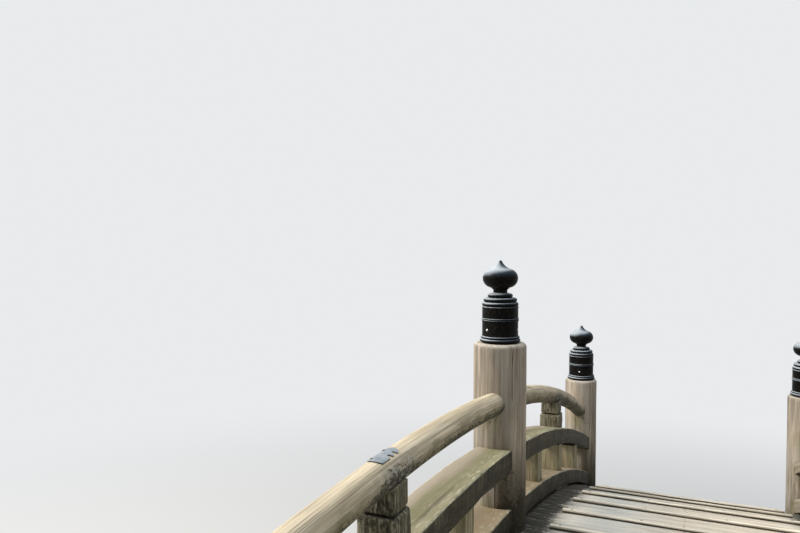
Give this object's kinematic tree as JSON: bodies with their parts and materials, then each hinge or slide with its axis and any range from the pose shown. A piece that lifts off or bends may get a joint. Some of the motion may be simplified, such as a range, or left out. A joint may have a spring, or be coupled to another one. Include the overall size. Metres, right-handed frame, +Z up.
{
  "type": "arched timber garden bridge",
  "caption": "Arched timber footbridge with curved girders, a cleated deck, and railings of round handrails and square rails between round posts with black onion-shaped metal caps.",
  "frame": {"origin": "centre of the bridge's footprint, on the ground under its lowest faces", "axes": "+Z up; +Y along the bridge, to the end that the picture shows; +X to the right when looking along +Y"},
  "size_m": [2.02, 8.62, 2.5875],
  "materials": {
    "post_wood": "weathered grey, split along the grain",
    "handrail_wood": "weathered tan with dark mildew below",
    "rail_wood": "weathered, green with algae on top",
    "deck_wood": "worn grey boards",
    "beam_wood": "dark, damp, rough sawn",
    "cap_metal": "black, satin to gloss",
    "plate_iron": "grey-blue, dull"
  },
  "bodies": {
    "root": {"sill_near": "beam_wood", "sill_far": "beam_wood", "girder_left": "beam_wood", "girder_middle": "beam_wood", "girder_right": "beam_wood", "cross_ties": "beam_wood", "deck": "deck_wood", "deck_cleats": "deck_wood", "post_left_1": "post_wood", "post_left_2": "post_wood", "post_left_3": "post_wood", "post_left_4": "post_wood", "post_right_1": "post_wood", "post_right_2": "post_wood", "post_right_3": "post_wood", "post_right_4": "post_wood", "cap_left_1": "cap_metal", "cap_left_2": "cap_metal", "cap_left_3": "cap_metal", "cap_left_4": "cap_metal", "cap_right_1": "cap_metal", "cap_right_2": "cap_metal", "cap_right_3": "cap_metal", "cap_right_4": "cap_metal", "handrail_left_1": "handrail_wood", "handrail_left_2": "handrail_wood", "handrail_left_3": "handrail_wood", "handrail_right_1": "handrail_wood", "handrail_right_2": "handrail_wood", "handrail_right_3": "handrail_wood", "middle_rail_left_1": "rail_wood", "middle_rail_left_2": "rail_wood", "middle_rail_left_3": "rail_wood", "middle_rail_right_1": "rail_wood", "middle_rail_right_2": "rail_wood", "middle_rail_right_3": "rail_wood", "lower_rail_left": "rail_wood", "lower_rail_right": "rail_wood", "struts_left": "rail_wood", "struts_right": "rail_wood", "blocks_left": "rail_wood", "blocks_right": "rail_wood", "spacers_left": "rail_wood", "spacers_right": "rail_wood", "rail_plates": "plate_iron"}
  },
  "joints": []
}
